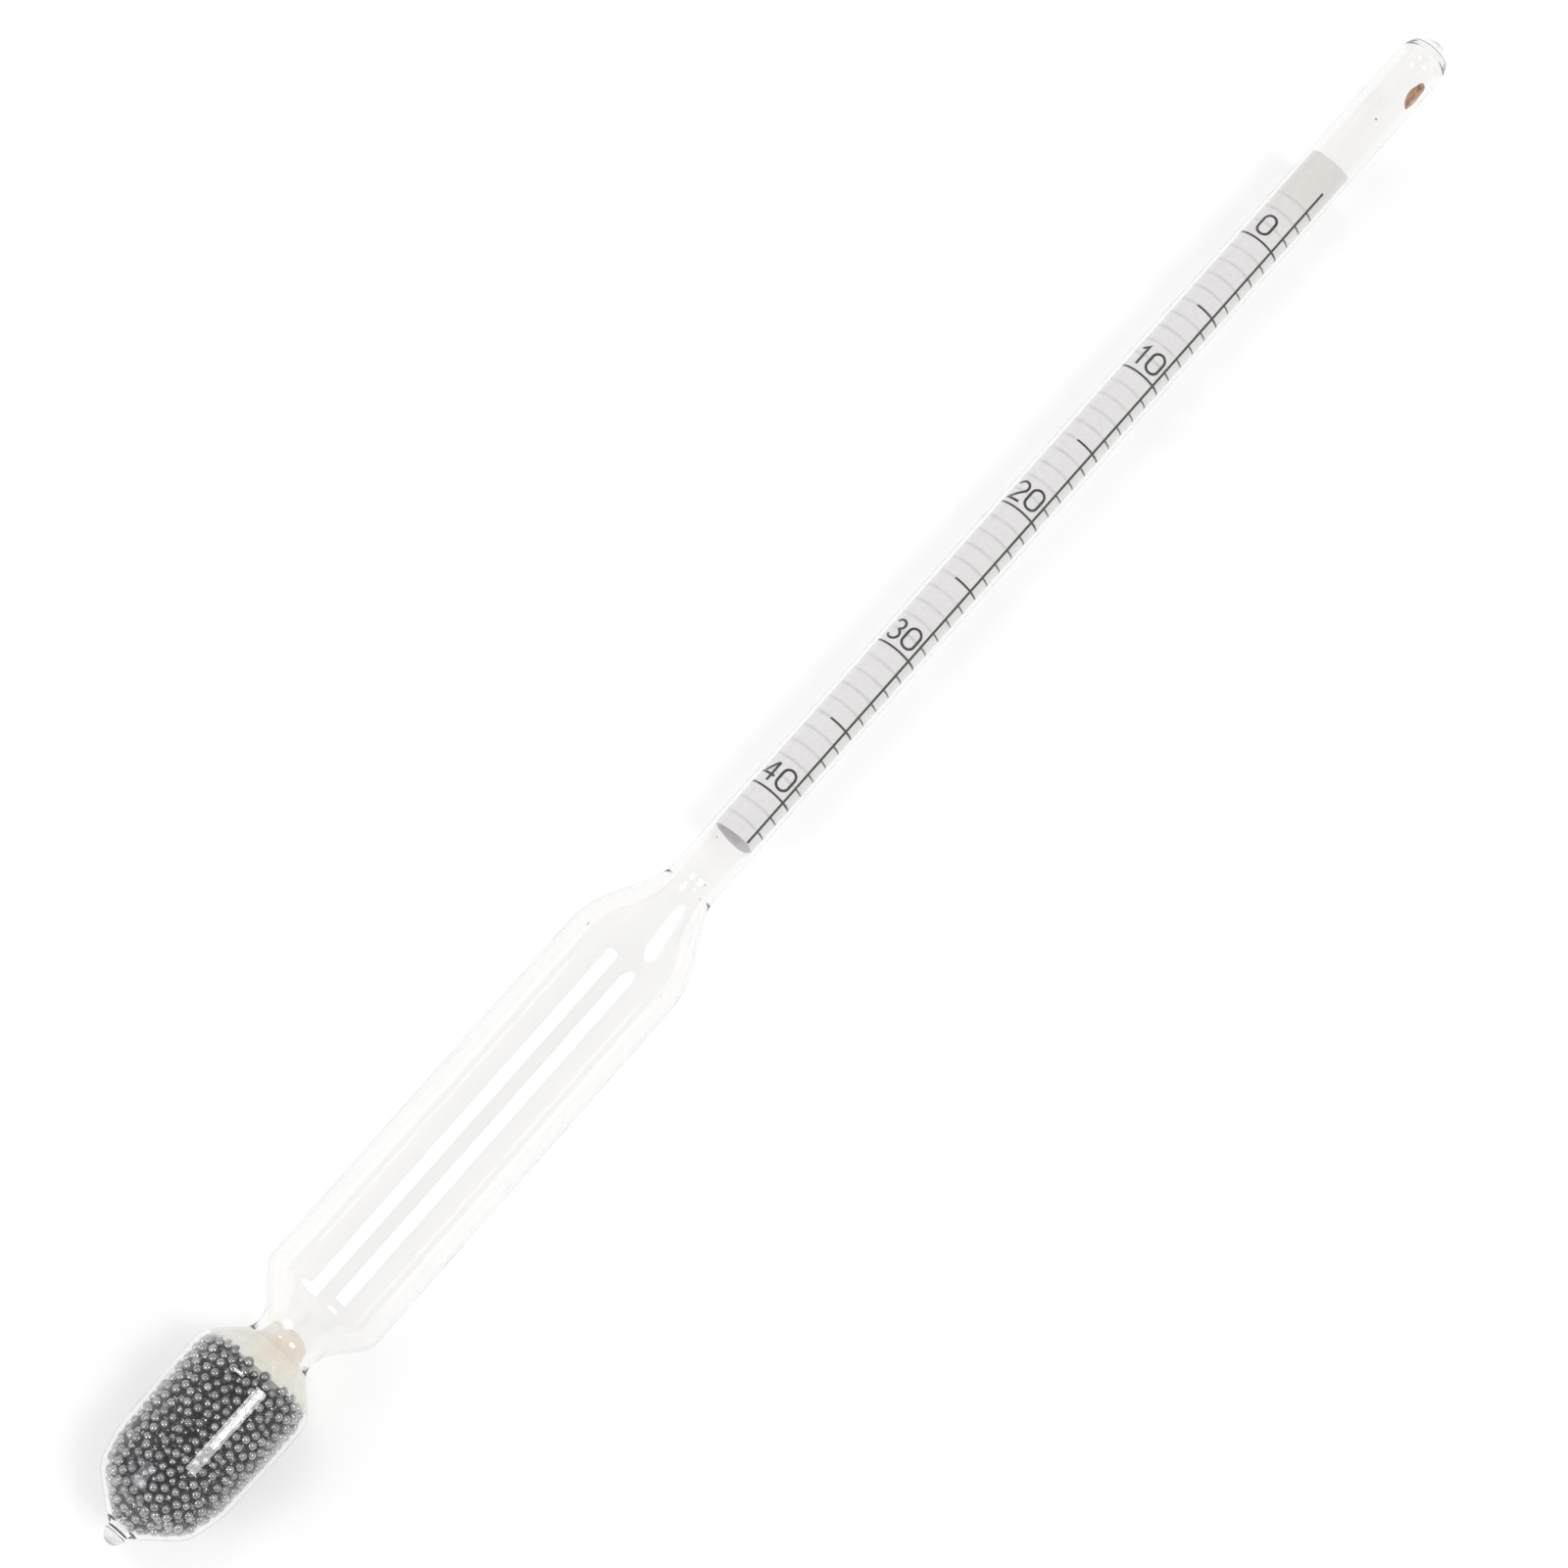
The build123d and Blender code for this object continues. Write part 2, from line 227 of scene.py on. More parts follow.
def shot_material():
    """Dark bright steel, a little different from ball to ball."""
    material, shader, nodes, links = new_material("steel_shot")
    set_inputs(shader, Metallic=1.0)
    island = nodes.new("ShaderNodeNewGeometry").outputs["Random Per Island"]
    tone = colour_ramp(nodes, links, island, (0.0, (0.26, 0.265, 0.275)), (1.0, (0.42, 0.425, 0.435)))
    links.new(tone, shader.inputs["Base Color"])
    grain = noise_texture(nodes, links, 4000, 2)
    rough = nodes.new("ShaderNodeMapRange")
    rough.inputs["To Min"].default_value = 0.06
    rough.inputs["To Max"].default_value = 0.13
    links.new(grain, rough.inputs["Value"])
    links.new(rough.outputs["Result"], shader.inputs["Roughness"])
    bump(nodes, links, shader, grain, 0.00002, 0.4)
    return material


def paper_material():
    """Thin off-white paper with fibres, a stained top and the inner turn's unit rings showing through."""
    material, shader, nodes, links = new_material("scale_paper")
    set_inputs(shader, Roughness=0.85)
    split = nodes.new("ShaderNodeSeparateXYZ")
    links.new(object_coordinates(nodes), split.inputs[0])
    along = split.outputs["X"]
    fibres = noise_texture(nodes, links, 1800, 6, 0.65)
    base = colour_ramp(nodes, links, fibres, (0.3, (0.79, 0.78, 0.778)), (0.7, (0.87, 0.857, 0.855)))

    unit = UNIT_PITCH * MM
    zero_x = TIP_X + ZERO_MARK * MM
    turns = math_node(nodes, links, "DIVIDE", math_node(nodes, links, "SUBTRACT", along, zero_x), unit)
    nearest = math_node(nodes, links, "PINGPONG", turns, 0.5)
    off_mark = math_node(nodes, links, "MULTIPLY", nearest, unit / (SHOW_THROUGH_WIDTH * MM))
    ring = math_node(nodes, links, "SUBTRACT", 1.0, off_mark)
    ring.node.use_clamp = True
    blotch = noise_texture(nodes, links, 500, 2)
    patchy = math_node(nodes, links, "MULTIPLY", ring, blotch)
    below_top = math_node(nodes, links, "LESS_THAN", along, zero_x + SHOWN_ABOVE_ZERO * unit)
    shown = math_node(nodes, links, "MULTIPLY", patchy, below_top)
    amount = math_node(nodes, links, "MULTIPLY", shown, SHOW_THROUGH)
    rings = nodes.new("ShaderNodeMix")
    rings.data_type = "RGBA"
    rings.blend_type = "MIX"
    rings.inputs["B"].default_value = (0.5, 0.5, 0.5, 1)
    links.new(amount, rings.inputs["Factor"])
    links.new(base, rings.inputs["A"])

    stain_start = TIP_X + STAIN_START * MM
    stain = nodes.new("ShaderNodeMapRange")
    stain.interpolation_type = "SMOOTHSTEP"
    stain.inputs["From Min"].default_value = stain_start
    stain.inputs["From Max"].default_value = stain_start + STAIN_LENGTH * MM
    uneven = math_node(nodes, links, "MULTIPLY_ADD", blotch, 0.006, along)
    links.new(uneven, stain.inputs["Value"])
    strength = math_node(nodes, links, "MULTIPLY", stain.outputs["Result"], STAIN)
    stained = nodes.new("ShaderNodeMix")
    stained.data_type = "RGBA"
    stained.inputs["B"].default_value = (0.66, 0.62, 0.52, 1)
    links.new(strength, stained.inputs["Factor"])
    links.new(rings.outputs["Result"], stained.inputs["A"])
    links.new(stained.outputs["Result"], shader.inputs["Base Color"])
    bump(nodes, links, shader, fibres, 0.00002, 0.5)
    return material


def ink_material():
    """Black print, slightly uneven."""
    material, shader, nodes, links = new_material("printed_ink")
    set_inputs(shader, Roughness=0.6)
    speckle = noise_texture(nodes, links, 2500, 3)
    tone = colour_ramp(nodes, links, speckle, (0.35, (0.012, 0.011, 0.010)), (0.75, (0.05, 0.047, 0.043)))
    links.new(tone, shader.inputs["Base Color"])
    bump(nodes, links, shader, speckle, 0.00001, 0.4)
    return material


def resin_material():
    """Translucent cream resin and wax, peach in the middle of the neck."""
    material, shader, nodes, links = new_material("cream_and_peach")
    set_inputs(shader, Roughness=0.22, Subsurface_Weight=0.5, Subsurface_Scale=0.0015)
    shader.inputs["Subsurface Radius"].default_value = (1.0, 0.85, 0.7)
    cloud = noise_texture(nodes, links, 500, 4)
    cream = colour_ramp(nodes, links, cloud, (0.3, (0.80, 0.79, 0.69)), (0.7, (0.90, 0.885, 0.80)))
    peach = colour_ramp(nodes, links, cloud, (0.3, (0.86, 0.765, 0.66)), (0.7, (0.91, 0.825, 0.74)))
    stretched = nodes.new("ShaderNodeVectorMath")
    stretched.operation = "MULTIPLY"
    stretched.inputs[1].default_value = PEACH_SHAPE
    links.new(object_coordinates(nodes), stretched.inputs[0])
    centre = nodes.new("ShaderNodeVectorMath")
    centre.operation = "DISTANCE"
    links.new(stretched.outputs["Vector"], centre.inputs[0])
    centre.inputs[1].default_value = place(*PEACH_CENTRE) * Vector(PEACH_SHAPE)
    fade = nodes.new("ShaderNodeMapRange")
    fade.interpolation_type = "SMOOTHSTEP"
    fade.inputs["From Min"].default_value = PEACH_EDGE
    fade.inputs["From Max"].default_value = PEACH_CORE
    links.new(centre.outputs["Value"], fade.inputs["Value"])
    mix = nodes.new("ShaderNodeMix")
    mix.data_type = "RGBA"
    links.new(fade.outputs["Result"], mix.inputs["Factor"])
    links.new(cream, mix.inputs["A"])
    links.new(peach, mix.inputs["B"])
    links.new(mix.outputs["Result"], shader.inputs["Base Color"])
    bump(nodes, links, shader, cloud, 0.0001, 0.3)
    return material


def glue_material():
    """Dried glue, in patches of brown, amber and orange."""
    material, shader, nodes, links = new_material("dried_glue")
    set_inputs(shader, Roughness=0.35, Coat_Weight=0.4, Transmission_Weight=0.25)
    cloud = noise_texture(nodes, links, 900, 4, 0.6)
    brown, amber, orange = (0.10, 0.045, 0.02), (0.45, 0.2, 0.07), (0.72, 0.42, 0.2)
    tone = colour_ramp(nodes, links, cloud, (0.3, brown), (0.5, amber), (0.7, orange))
    links.new(tone, shader.inputs["Base Color"])
    bump(nodes, links, shader, cloud, 0.0001, 0.5)
    return material


def dust_material():
    """Dark specks of dirt."""
    material, shader, nodes, links = new_material("dust")
    set_inputs(shader, Roughness=0.8)
    grain = noise_texture(nodes, links, 3000, 2)
    tone = colour_ramp(nodes, links, grain, (0.3, (0.16, 0.15, 0.13)), (0.7, (0.36, 0.34, 0.30)))
    links.new(tone, shader.inputs["Base Color"])
    return material


def floor_material():
    """Pale matt table top, with a little light of its own so that shadows on it stay faint."""
    material, shader, nodes, links = new_material("pale_floor")
    set_inputs(shader, Roughness=0.9, Specular_IOR_Level=0.0)
    set_inputs(shader, Emission_Color=(1, 1, 1, 1), Emission_Strength=0.48)
    grain = noise_texture(nodes, links, 60, 3)
    tone = colour_ramp(nodes, links, grain, (0.3, (0.54, 0.54, 0.54)), (0.7, (0.57, 0.57, 0.57)))
    links.new(tone, shader.inputs["Base Color"])
    return material


# ---------------------------------------------------------------- mesh helpers
SHARP_ANGLE = math.radians(40)


def finish_piece(name, vertices, faces, materials, replaced=(), face_materials=None):
    """Makes a smooth mesh piece, puts it on the one body and hides the CAD nodes it stands for."""
    mesh = bpy.data.meshes.new(name)
    mesh.from_pydata(vertices, [], faces)
    for material in materials:
        mesh.materials.append(material)
    if face_materials:
        mesh.polygons.foreach_set("material_index", face_materials)
    mesh.shade_smooth()
    work = bmesh.new()
    work.from_mesh(mesh)
    bmesh.ops.recalc_face_normals(work, faces=work.faces)
    for edge in work.edges:
        edge.smooth = edge.calc_face_angle(0) < SHARP_ANGLE
    work.to_mesh(mesh)
    work.free()
    piece = bpy.data.objects.new(name, mesh)
    bpy.context.scene.collection.objects.link(piece)
    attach(piece, "root")
    if replaced:
        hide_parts(*replaced)
    return piece


def rounded(corners, step=4.0):
    """The outline through corners of ((distance, radius), rounding), with an arc at each rounded one."""
    points = [Vector(corners[0][0])]
    for index in range(1, len(corners) - 1):
        corner = Vector(corners[index][0])
        back = (Vector(corners[index - 1][0]) - corner).normalized()
        ahead = (Vector(corners[index + 1][0]) - corner).normalized()
        half = back.angle(ahead) / 2
        radius = corners[index][1]
        centre = corner + (back + ahead).normalized() * (radius / math.sin(half))
        first = corner + back * (radius / math.tan(half)) - centre
        last = corner + ahead * (radius / math.tan(half)) - centre
        sweep = first.angle_signed(last)
        steps = max(2, math.ceil(abs(math.degrees(sweep)) / step))
        for part in range(steps + 1):
            points.append(centre + Matrix.Rotation(-sweep * part / steps, 2) @ first)
    points.append(Vector(corners[-1][0]))
    return points


def resampled(points, spacing):
    """Points at an even spacing along a line of points, with both of its ends."""
    lengths = [0.0]
    for first, second in zip(points, points[1:]):
        lengths.append(lengths[-1] + (second - first).length)
    count = max(1, round(lengths[-1] / spacing))
    result, index = [], 0
    for step in range(count + 1):
        wanted = lengths[-1] * step / count
        while index < len(points) - 2 and lengths[index + 1] < wanted:
            index += 1
        share = (wanted - lengths[index]) / (lengths[index + 1] - lengths[index])
        result.append(points[index].lerp(points[index + 1], share))
    return result


def inset(points, depth):
    """A line of points moved towards the axis, square to itself, by depth(distance)."""
    result = []
    for index, point in enumerate(points):
        before = points[max(index - 1, 0)]
        after = points[min(index + 1, len(points) - 1)]
        along = (after - before).normalized()
        result.append(point + Vector((along.y, -along.x)) * depth(point.x))
    return result


def lathe(profile, segments, wobble=None):
    """Vertices and faces of a profile of (distance, radius) turned round the axis, and each face's
    span of the profile. A closed profile repeats its first point at its end.
    wobble(distance, radius, angle) adds to the radius."""
    closed = profile[0] == profile[-1]
    rows = profile[:-1] if closed else profile
    vertices, rings = [], []
    for distance, radius in rows:
        if radius == 0:
            rings.append([len(vertices)])
            vertices.append(place(distance, 0, 0))
            continue
        rings.append(list(range(len(vertices), len(vertices) + segments)))
        for part in range(segments):
            angle = 360 * part / segments
            extra = wobble(distance, radius, angle) if wobble else 0
            vertices.append(place(distance, radius + extra, angle))
    faces, spans = [], []
    pairs = list(zip(range(len(rows)), range(1, len(rows))))
    if closed:
        pairs.append((len(rows) - 1, 0))
    for first, second in pairs:
        one, two = rings[first], rings[second]
        for part in range(segments):
            following = (part + 1) % segments
            near = [one[part % len(one)], one[following % len(one)]]
            far = [two[following % len(two)], two[part % len(two)]]
            faces.append(list(dict.fromkeys(near + far)))
            spans.append(first)
    return vertices, faces, spans


# ---------------------------------------------------------------- glass
SEGMENTS = 160
PROFILE_STEP = 0.4

# swells of the glass, as (centre, height, width): thicker glass at the neck and where the stem was
# fused on, and the ring that the fusing left outside
FUSION_RING = 124.6
NECK_SWELL = (NECK + 0.3, 0.25, 2.0)
FUSION_SWELL = (FUSION_RING - 0.4, 0.16, 0.5)
RING_SWELL = (FUSION_RING, 0.05, 0.35)


def swell(distance, centre, height, width):
    """A smooth bump on a line."""
    return height * math.exp(-(((distance - centre) / width) ** 2))


def glass_depth(distance):
    """The wall's thickness: even, but thicker at the neck and where the stem was joined."""
    return GLASS_WALL + swell(distance, *NECK_SWELL) + swell(distance, *FUSION_SWELL)


def radius_at(points, distance):
    """The radius of an outline at a distance."""
    for first, second in zip(points, points[1:]):
        if first.x <= distance <= second.x:
            return first.lerp(second, (distance - first.x) / (second.x - first.x)).y
    return points[0].y if distance <= points[0].x else points[-1].y


def with_rings(points):
    """The float's outside with the faint ring left where the stem was fused on."""
    return [Vector((p.x, p.y + swell(p.x, *RING_SWELL))) for p in points]


FLOAT_OUTSIDE = with_rings(resampled(rounded(FLOAT_CORNERS), PROFILE_STEP))
FLOAT_INSIDE = inset(FLOAT_OUTSIDE, glass_depth)


def part_of(points, start, end):
    """The stretch of an outline between two distances, cut exactly at both."""
    inside = [p for p in points if start + 0.02 < p.x < end - 0.02]
    ends = [Vector((distance, radius_at(points, distance))) for distance in (start, end)]
    return [ends[0], *inside, ends[1]]


def glass_piece(name, profile, joints):
    """A length of glass turned from a profile, whose joint spans are fused faces."""
    vertices, faces, spans = lathe([tuple(p) for p in profile], SEGMENTS)
    marks = [1 if span in joints else 0 for span in spans]
    return finish_piece(name, vertices, faces, [GLASS, JOINT], [name], marks)


def quarter_ellipse(centre, length, radius, steps=24):
    """Points from (centre, radius) to the axis at centre + length."""
    angles = [math.pi / 2 * step / steps for step in range(steps + 1)]
    points = [Vector((centre + length * math.sin(a), radius * math.cos(a))) for a in angles]
    points[-1].y = 0
    return points


def make_tip():
    """The solid nub at the bottom tip, with a groove above its crown."""
    steps = 20
    angles = [math.pi / 2 * step / steps for step in range(steps + 1)]
    crown = [Vector((NUB_R * (1 - math.cos(a)), NUB_R * math.sin(a))) for a in angles]
    collar = resampled([crown[-1], Vector((NUB_END, NUB_R)), Vector((TIP_END, TIP_BASE_R))], 0.03)
    tip = crown + collar[1:]
    tip = [Vector((p.x, p.y - swell(p.x, NUB_GROOVE, 0.2, 0.07))) for p in tip]
    glass_piece("tip_seal", [*tip, Vector((TIP_END, 0))], {len(tip) - 1})


def bulb_grooves(distance):
    """How deep the two faint rings just above the tip are at a distance."""
    return swell(distance, 2.62, 0.05, 0.06) + swell(distance, 2.9, 0.04, 0.06)


def make_bulb():
    """The glass round the shot, open at the neck."""
    outside = [Vector((p.x, p.y - bulb_grooves(p.x))) for p in part_of(FLOAT_OUTSIDE, TIP_END, NECK)]
    inside = [p for p in FLOAT_INSIDE if BULB_FLOOR < p.x < NECK - 0.02]
    inside.append(Vector((NECK, part_of(FLOAT_INSIDE, BULB_FLOOR, NECK)[-1].y)))
    corner = Vector((BULB_FLOOR, inside[0].y - 0.35))
    base = resampled([Vector((BULB_FLOOR, 0)), corner, inside[0]], 0.2)
    profile = [Vector((TIP_END, 0)), *outside, *reversed(inside), *reversed(base[:-1])]
    glass_piece("ballast_bulb", profile, {0, len(outside)})


def make_body():
    """The float's wide tube, from the neck to the start of the stem."""
    outside = part_of(FLOAT_OUTSIDE, NECK, STEM_START)
    inside = part_of(FLOAT_INSIDE, NECK, STEM_START)
    profile = [*outside, *reversed(inside), outside[0]]
    glass_piece("float_body", profile, {len(outside) - 1, len(outside) + len(inside) - 1})


def make_stem():
    """The stem's tube, closed by a thick dome."""
    dome_start, bore_dome_start = LENGTH - DOME_HEIGHT, BORE_END - BORE_DOME_HEIGHT
    outside = resampled([Vector((STEM_START, STEM_R)), Vector((dome_start, STEM_R))], 1.0)
    outside += quarter_ellipse(dome_start, DOME_HEIGHT, STEM_R)[1:]
    inside = resampled([Vector((STEM_START, BORE_R)), Vector((bore_dome_start, BORE_R))], 1.0)
    inside += quarter_ellipse(bore_dome_start, BORE_DOME_HEIGHT, BORE_R)[1:]
    profile = [*reversed(inside), *outside]
    glass_piece("stem_tube", profile, {len(inside) - 1})


# ---------------------------------------------------------------- scale paper and print
def paper_radius(turned):
    """The outer face's radius after turning some degrees from the outer edge of the sheet."""
    step = min(max((turned - TURN_ARC) / (360 - TURN_ARC), 0), 1)
    smooth = step * step * (3 - 2 * step)
    return PAPER_R - smooth * (PAPER_THICKNESS + TURN_GAP)


PAPER_GRID = (282, 90)
TOP_RAGGED, TOP_SLANT, BOTTOM_SLANT = 0.2, 0.55, 0.12
PAPER_UNEVEN = 0.012


def make_paper():
    """One sheet rolled two turns, with a hand-cut top edge."""
    columns, rows = PAPER_GRID
    total = 360 + TURN_ARC
    vertices = []
    for inner in (0, PAPER_THICKNESS):
        for row in range(rows + 1):
            for column in range(columns + 1):
                turned = total * column / columns
                angle = SEAM_ANGLE + turned
                ragged = TOP_RAGGED * noise.noise(Vector((math.radians(angle) * 3.0, 3.1, 0.4)))
                top = PAPER_TOP - TOP_RAGGED + ragged - TOP_SLANT * math.cos(math.radians(angle))
                bottom = PAPER_BOTTOM + BOTTOM_SLANT * math.sin(math.radians(2 * angle))
                distance = bottom + (top - bottom) * row / rows
                wave = noise.noise(Vector((distance * 0.12, math.radians(angle), 0.0)))
                radius = paper_radius(turned) - inner + PAPER_UNEVEN * wave
                vertices.append(place(distance, radius, angle))
    width = columns + 1
    layer = width * (rows + 1)
    faces = []
    for row in range(rows):
        for column in range(columns):
            a = row * width + column
            faces.append((a, a + 1, a + 1 + width, a + width))
            faces.append(tuple(layer + i for i in (a, a + width, a + 1 + width, a + 1)))
    rim = [row * width for row in range(rows + 1)]
    rim += [rows * width + column for column in range(1, width)]
    rim += [row * width + columns for row in reversed(range(rows))]
    rim += [column for column in reversed(range(1, columns))]
    for one, two in zip(rim, rim[1:] + rim[:1]):
        faces.append((one, two, layer + two, layer + one))
    finish_piece("scale_paper", vertices, faces, [PAPER], ["scale_paper"])


def stroke_outline(points, width, closed=False):
    """The left and right edges of a stroke of a width along a line of sketch points."""
    left, right = [], []
    count = len(points)
    for index, point in enumerate(points):
        before = points[(index - 1) % count] if closed or index else points[index]
        after = points[(index + 1) % count] if closed or index < count - 1 else points[index]
        back = (point - before).normalized() if point != before else (after - point).normalized()
        ahead = (after - point).normalized() if point != after else back
        normal = Vector((-(back + ahead).y, (back + ahead).x)).normalized()
        reach = width / 2 / max(0.35, normal.dot(Vector((-ahead.y, ahead.x))))
        left.append(point + normal * reach)
        right.append(point - normal * reach)
    return left, right


def subdivided(points, closed, longest=0.2):
    """A line with extra points, so that its straight stretches can wrap round the paper."""
    result = []
    ends = points[1:] + points[:1] if closed else points[1:]
    for first, second in zip(points, ends):
        parts = max(1, math.ceil((second - first).length / longest))
        result += [first.lerp(second, k / parts) for k in range(parts)]
    return result if closed else result + [points[-1]]


INK_SUNK = 0.02  # how far the ink's underside is sunk into the paper
INK_TOP_R = INK_R - 0.015


def wrapped_strokes(strokes):
    """Vertices and faces of thin ink strokes wrapped round the paper.
    A stroke is (points, width, closed), with points of (angle in degrees, distance)."""
    vertices, faces = [], []
    for points, width, closed in strokes:
        flat = [Vector((math.radians(angle) * PAPER_R, distance)) for angle, distance in points]
        flat = subdivided(flat, closed)
        left, right = stroke_outline(flat, width, closed)
        start = len(vertices)
        for edge in (left, right):
            for radius in (PAPER_R - INK_SUNK, INK_TOP_R):
                for point in edge:
                    vertices.append(place(point.y, radius, math.degrees(point.x / PAPER_R)))
        count = len(flat)
        low_left, high_left, low_right, high_right = (start + count * k for k in range(4))
        spans = range(count if closed else count - 1)
        for index in spans:
            following = (index + 1) % count
            faces += [
                (high_left + index, high_left + following, high_right + following, high_right + index),
                (low_left + index, low_right + index, low_right + following, low_left + following),
                (low_left + index, low_left + following, high_left + following, high_left + index),
                (low_right + index, high_right + index, high_right + following, low_right + following),
            ]
        if not closed:
            for end in (0, count - 1):
                faces.append((low_left + end, high_left + end, high_right + end, low_right + end))
    return vertices, faces


def ink_piece(name, strokes):
    """A printed piece that stands for the CAD node of the same name."""
    vertices, faces = wrapped_strokes(strokes)
    piece = finish_piece(name, vertices, faces, [INK], [name])
    piece.data.shade_flat()
    return piece


def arc_points(start, end, distance, step=3.0):
    """Points round the paper between two angles, at one distance."""
    count = max(2, math.ceil(abs(end - start) / step))
    return [(start + (end - start) * k / count, distance) for k in range(count + 1)]


def mark_distance(unit):
    """How far from the tip a unit's mark is."""
    return ZERO_MARK - unit * UNIT_PITCH


DIGIT_HEIGHT, DIGIT_WIDTH, DIGIT_STROKE = 3.8, 2.4, 0.4
DIGIT_RISE, NUMERAL_ANGLE, DIGIT_STEP_ANGLE = 2.7, -19.0, 45.0
HALF_W = (DIGIT_WIDTH - DIGIT_STROKE) / 2
HALF_H = (DIGIT_HEIGHT - DIGIT_STROKE) / 2


def circle_points(x, y, radius, start, sweep, step=8.0):
    """Points along an arc of a circle in the digit's sketch."""
    count = math.ceil(abs(sweep) / step)
    angles = [math.radians(start + sweep * k / count) for k in range(count + 1)]
    return [(x + radius * math.cos(a), y + radius * math.sin(a)) for a in angles]


def digit_strokes(digit):
    """The strokes of a digit, as lists of sketch points and whether each is closed."""
    if digit == "0":
        side = HALF_H - HALF_W
        top = circle_points(0, side, HALF_W, 0, 180)
        return [(top + circle_points(0, -side, HALF_W, 180, 180), True)]
    if digit == "1":
        x = 0.35 * HALF_W
        return [([(-0.45 * HALF_W, 0.62 * HALF_H), (x, HALF_H), (x, -HALF_H)], False)]
    if digit == "2":
        r = 0.95 * HALF_W
        head = circle_points(0, HALF_H - r, r, 165, -200)
        return [(head + [(-HALF_W, -HALF_H), (HALF_W, -HALF_H)], False)]
    if digit == "3":
        r = 0.47 * HALF_H
        bowl = HALF_H - r
        head = circle_points(0, HALF_H - r, r, 160, -240)
        return [(head, False), (circle_points(0, bowl - HALF_H, bowl, 80, -240), False)]
    slope = [(HALF_W, -0.35 * HALF_H), (-HALF_W, -0.35 * HALF_H), (0.35 * HALF_W, 0.95 * HALF_H)]
    return [(slope, False), ([(0.45 * HALF_W, HALF_H), (0.45 * HALF_W, -HALF_H)], False)]


def numeral_strokes(value):
    """The strokes of a numeral, placed just above its ring."""
    text = str(value)
    strokes = []
    for index, digit in enumerate(text):
        middle = NUMERAL_ANGLE + (index - (len(text) - 1) / 2) * DIGIT_STEP_ANGLE
        height = mark_distance(value) + DIGIT_RISE
        for points, closed in digit_strokes(digit):
            turned = [(middle + math.degrees(x / PAPER_R), height + y) for x, y in points]
            strokes.append((turned, DIGIT_STROKE, closed))
    return strokes


def make_print():
    """The scale's line, ticks, rings and numerals."""
    half = math.degrees(LINE_WIDTH / 2 / PAPER_R)
    right = (LINE_ANGLE + half * 0.5, TICK_END_ANGLE)
    units = range(FIRST_UNIT, LAST_UNIT + 1)
    line = [(LINE_ANGLE, PAPER_BOTTOM + 0.15 + (LINE_TOP - PAPER_BOTTOM) * k / 60) for k in range(61)]
    ink_piece("scale_line", [(line, LINE_WIDTH, False)])
    plain = [(arc_points(*right, mark_distance(u)), TICK_WIDTH, False) for u in units if u % 5]
    ink_piece("unit_ticks", plain)
    fives = [mark_distance(u) for u in units if u % 10 == 5]
    five_span = (FIVE_END_ANGLE, TICK_END_ANGLE)
    ink_piece("five_ticks", [(arc_points(*five_span, d), MARK_WIDTH, False) for d in fives])
    tens = [u for u in units if u % 10 == 0]
    ring_span = (LINE_ANGLE + half, LINE_ANGLE - half + 360)
    rings = [(arc_points(*ring_span, mark_distance(u)), MARK_WIDTH, False) for u in tens]
    ink_piece("ten_rings", rings)
    for value in tens:
        ink_piece(f"numeral_{value}", numeral_strokes(value))


# ---------------------------------------------------------------- ballast
SHOT_BANDS = 10


def make_shot():
    """The steel balls, finer than their CAD solids and in the same places."""
    for number in range(1, SHOT_BANDS + 1):
        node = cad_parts[f"shot_band_{number}"]
        centres, radius = ball_centres(node)
        note_edge_balls(centres, radius)
        ball = bmesh.new()
        bmesh.ops.create_icosphere(ball, subdivisions=2, radius=radius)
        ball.verts.ensure_lookup_table()
        shape = [v.co.copy() for v in ball.verts]
        cells = [[v.index for v in f.verts] for f in ball.faces]
        ball.free()
        vertices, faces = [], []
        for centre in centres:
            start = len(vertices)
            vertices += [centre + point for point in shape]
            faces += [[start + i for i in cell] for cell in cells]
        name = node.name
        finish_piece(name + "_fine", vertices, faces, [SHOT], [name])


def ball_centres(node):
    """The centres of a node's separate balls, and their radius."""
    work = bmesh.new()
    work.from_mesh(node.data)
    bmesh.ops.remove_doubles(work, verts=work.verts, dist=1e-7)
    seen, centres, radius = set(), [], 0
    for first in work.verts:
        if first in seen:
            continue
        island, todo = [], [first]
        seen.add(first)
        while todo:
            vertex = todo.pop()
            island.append(vertex.co)
            for edge in vertex.link_edges:
                other = edge.other_vert(vertex)
                if other not in seen:
                    seen.add(other)
                    todo.append(other)
        low = Vector(map(min, *island))
        high = Vector(map(max, *island))
        centres.append((low + high) / 2)
        radius = max(radius, (high.x - low.x) / 2)
    work.free()
    return centres, radius


WETTING = 0.03  # how far the resin reaches into the glass, so that no air shows between them
EDGE_SAG = 0.75  # how far it runs down between the balls
EDGE_BALLS = []  # (distance, angle, radius) of the topmost balls against the glass


def note_edge_balls(centres, radius):
    """Keeps the balls that lie against the glass just under the resin."""
    shot_top = extent("bulb_sealant")[0]
    for centre in centres:
        distance = (centre.x - TIP_X) / MM
        off_axis = math.hypot(centre.y, centre.z - AXIS_Z) / MM
        if distance > shot_top - 3 and off_axis > radius_at(FLOAT_INSIDE, distance) - 1.6:
            angle = math.degrees(math.atan2(-centre.y, centre.z - AXIS_Z))
            EDGE_BALLS.append((distance, angle, radius / MM))


